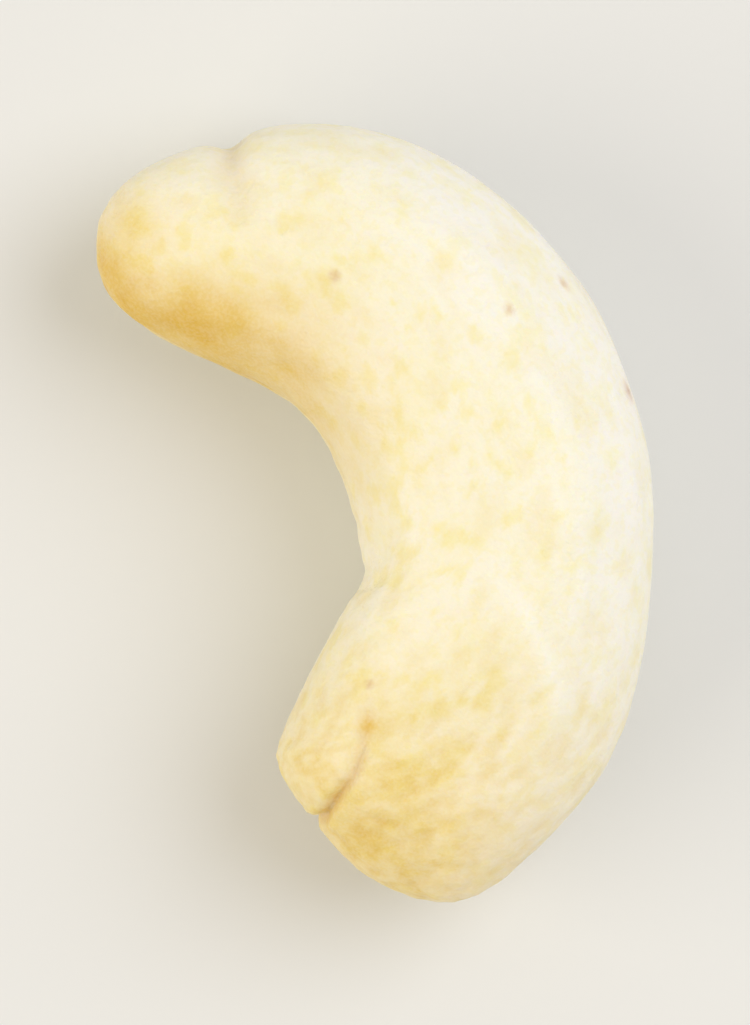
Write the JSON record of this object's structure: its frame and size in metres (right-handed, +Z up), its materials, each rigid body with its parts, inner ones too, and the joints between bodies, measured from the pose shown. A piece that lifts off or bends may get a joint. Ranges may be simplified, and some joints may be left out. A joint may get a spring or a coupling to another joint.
{
  "type": "cashew nut",
  "caption": "Whole peeled cashew kernel: a curved, thick crescent with a seam between its cotyledons, lying on its side.",
  "frame": {"origin": "centre of the kernel's bounding box, on the surface that it lies on", "axes": "+Z up through the upper cotyledon, +Y towards the narrow head, -Y towards the broad tail, -X towards the hollow of the curve"},
  "size_m": [0.0174, 0.03, 0.0113],
  "materials": {
    "peeled_kernel": "cream, dull and slightly waxy surface of a raw peeled nut, with faint yellow mottling"
  },
  "bodies": {
    "root": {"kernel": "peeled_kernel"}
  },
  "joints": []
}
